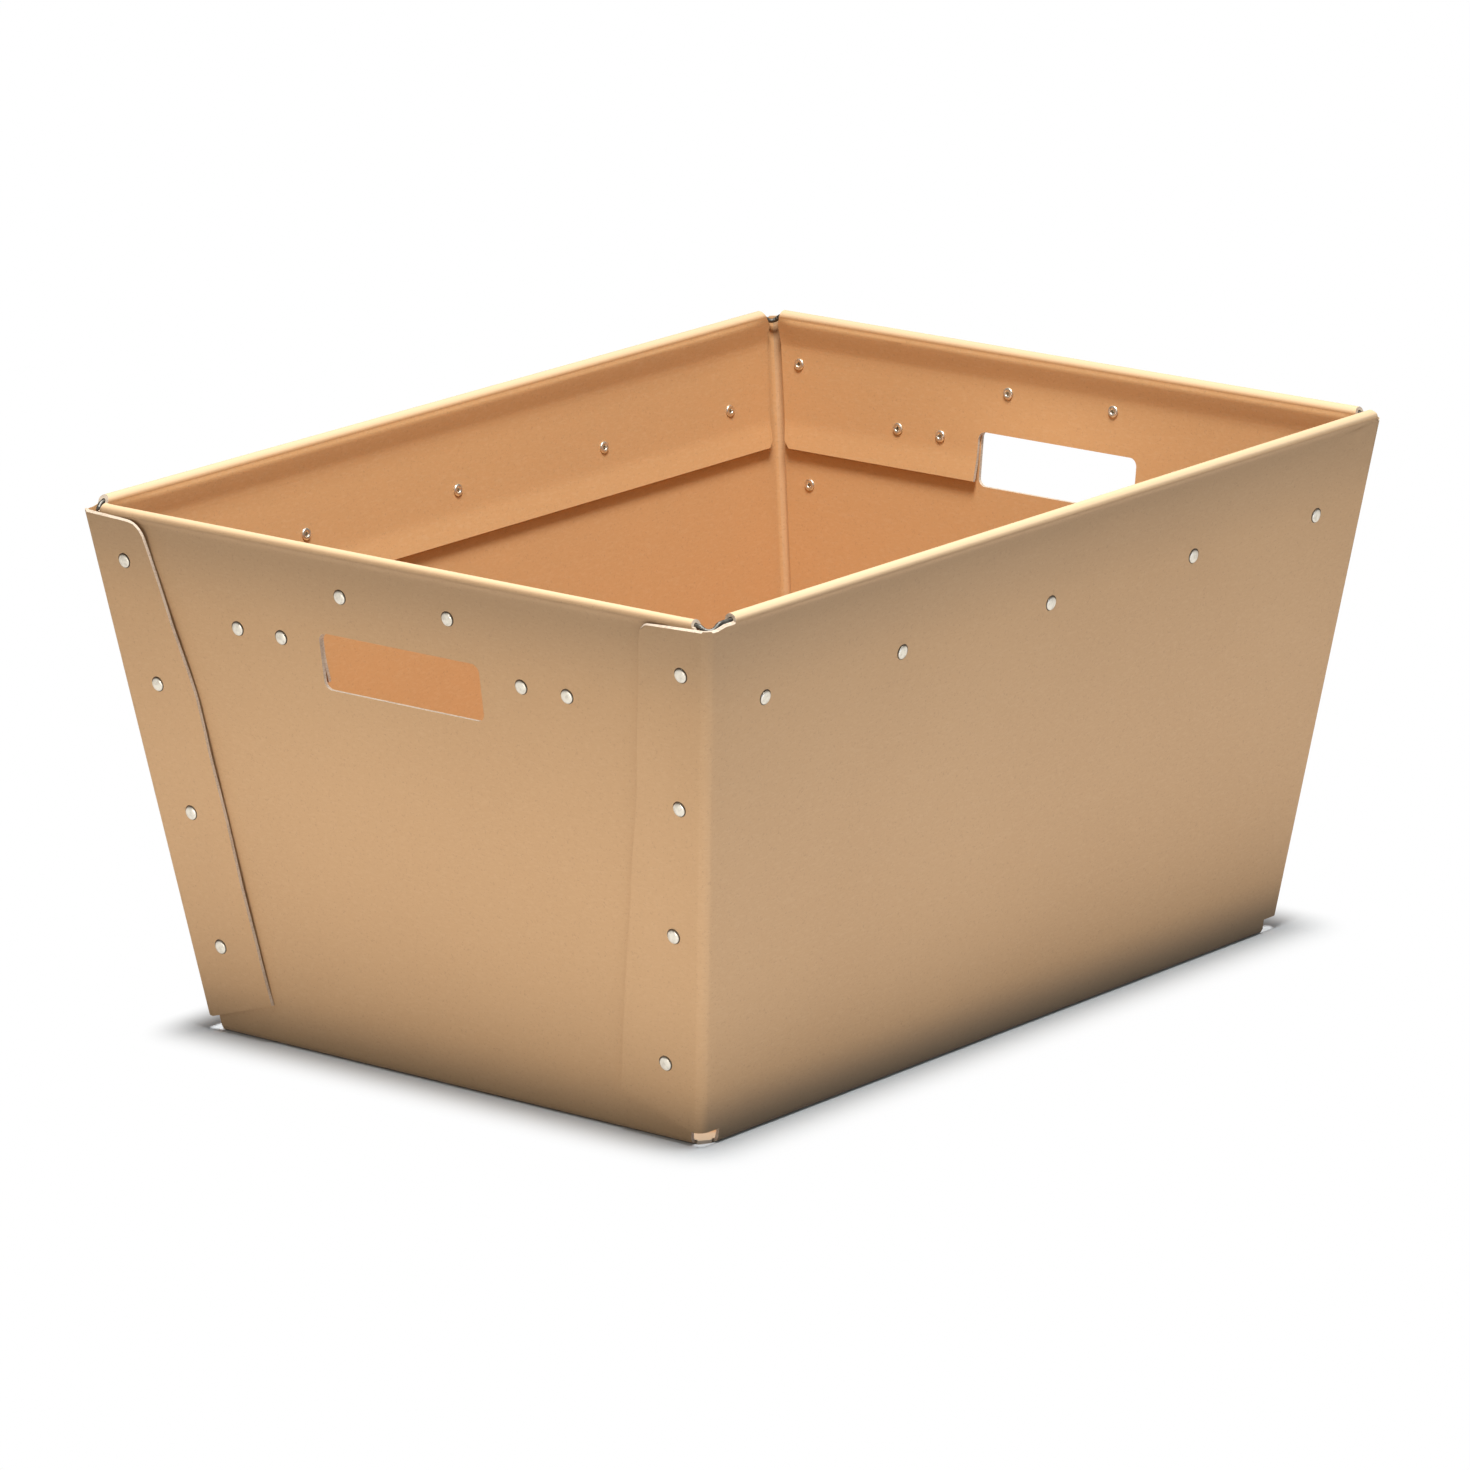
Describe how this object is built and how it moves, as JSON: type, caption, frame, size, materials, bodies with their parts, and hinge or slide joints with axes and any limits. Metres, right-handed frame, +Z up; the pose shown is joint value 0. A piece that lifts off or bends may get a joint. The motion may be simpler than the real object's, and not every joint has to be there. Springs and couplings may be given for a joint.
{
  "type": "transport basket",
  "caption": "Open-topped basket folded from fibreboard, wider at the rim, with riveted corner flaps, hems turned in over a rim wire and a hand hole in each end.",
  "frame": {"origin": "middle of the base, on the surface that the basket stands on", "axes": "+X along the basket, from one hand-hole end to the other; +Y across it; +Z up, out of the open top"},
  "size_m": [0.595, 0.4488, 0.305],
  "materials": {
    "kraft_fibreboard": "matt solid fibreboard with kraft liners, fine fibre mottling and paler cut edges",
    "galvanised_wire": "dull bright zinc coating on drawn wire",
    "plated_rivet_steel": "zinc-plated steel, softly polished heads and rolled clenches"
  },
  "bodies": {
    "root": {"fibreboard_body": "kraft_fibreboard", "rim_wire": "galvanised_wire", "left_end_hem_rivets": "plated_rivet_steel", "right_end_hem_rivets": "plated_rivet_steel", "front_side_hem_rivets": "plated_rivet_steel", "back_side_hem_rivets": "plated_rivet_steel", "corner_rim_rivets": "plated_rivet_steel", "front_left_flap_rivets": "plated_rivet_steel", "back_left_flap_rivets": "plated_rivet_steel", "front_right_flap_rivets": "plated_rivet_steel", "back_right_flap_rivets": "plated_rivet_steel"}
  },
  "joints": []
}
